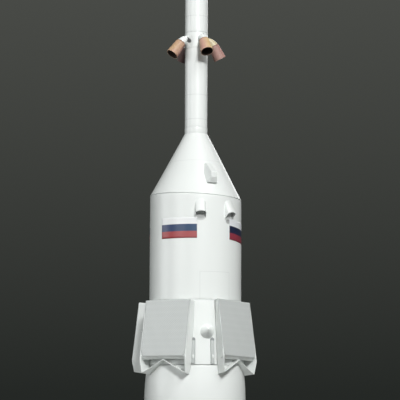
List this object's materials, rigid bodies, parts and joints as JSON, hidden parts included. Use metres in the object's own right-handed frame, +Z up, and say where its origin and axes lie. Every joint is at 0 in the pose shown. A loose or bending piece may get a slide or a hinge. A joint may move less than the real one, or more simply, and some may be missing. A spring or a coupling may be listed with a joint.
{
  "type": "space rocket card model",
  "caption": "Tall card model of a crewed space rocket: slim escape tower, conical fairing, folded grid fins and tapered boosters on open engine bells.",
  "frame": {"origin": "middle of the floor under the model, in the plane of the engine bells' rims", "axes": "+Z up along the rocket's axis, -Y towards the gap between two grid fins that faces the viewer, boosters on +X, -X, +Y and -Y"},
  "size_m": [0.2146, 0.2146, 1.0312],
  "materials": {
    "white_card": "glossy coated white card, rolled and glued",
    "grey_mesh_card": "card printed with a fine grey lattice",
    "copper_card": "rolled card in a copper brown with a soft sheen",
    "grey_card": "satin card in a green grey",
    "orange_card": "satin card in orange",
    "engine_card": "card painted a dark metallic grey"
  },
  "bodies": {
    "root": {"band_button_1": "white_card", "band_button_2": "white_card", "band_button_3": "white_card", "band_button_4": "white_card", "booster_body_1": "grey_card", "booster_body_2": "grey_card", "booster_body_3": "grey_card", "booster_body_4": "grey_card", "booster_engine_1": "engine_card", "booster_engine_2": "engine_card", "booster_engine_3": "engine_card", "booster_engine_4": "engine_card", "booster_nose_1": "grey_card", "booster_nose_2": "grey_card", "booster_nose_3": "grey_card", "booster_nose_4": "grey_card", "booster_tail_1": "orange_card", "booster_tail_2": "orange_card", "booster_tail_3": "orange_card", "booster_tail_4": "orange_card", "core_engine": "engine_card", "core_tail": "grey_card", "core_tank": "grey_card", "core_top_dome": "grey_card", "core_upper_cone": "grey_card", "escape_base_ring": "white_card", "escape_lower_tube": "white_card", "escape_nose_cone": "white_card", "escape_nozzle_1": "copper_card", "escape_nozzle_2": "copper_card", "escape_nozzle_3": "copper_card", "escape_nozzle_4": "copper_card", "escape_nozzle_collar": "white_card", "escape_steering_motor": "white_card", "escape_upper_tube": "white_card", "fairing_blister_1": "white_card", "fairing_blister_2": "white_card", "fairing_blister_3": "white_card", "fairing_blister_4": "white_card", "fairing_cone": "white_card", "fairing_cone_blister": "white_card", "fairing_lower_shell": "white_card", "fairing_tail_cone": "white_card", "fairing_upper_shell": "white_card", "fin_band": "white_card", "grid_fin_frame_1": "white_card", "grid_fin_frame_2": "white_card", "grid_fin_frame_3": "white_card", "grid_fin_frame_4": "white_card", "grid_fin_panel_1": "grey_mesh_card", "grid_fin_panel_2": "grey_mesh_card", "grid_fin_panel_3": "grey_mesh_card", "grid_fin_panel_4": "grey_mesh_card", "interstage_truss": "grey_card", "third_stage_duct_1": "grey_card", "third_stage_duct_2": "grey_card", "third_stage_engine": "engine_card", "third_stage_ring": "white_card", "third_stage_tank": "grey_card"}
  },
  "joints": []
}
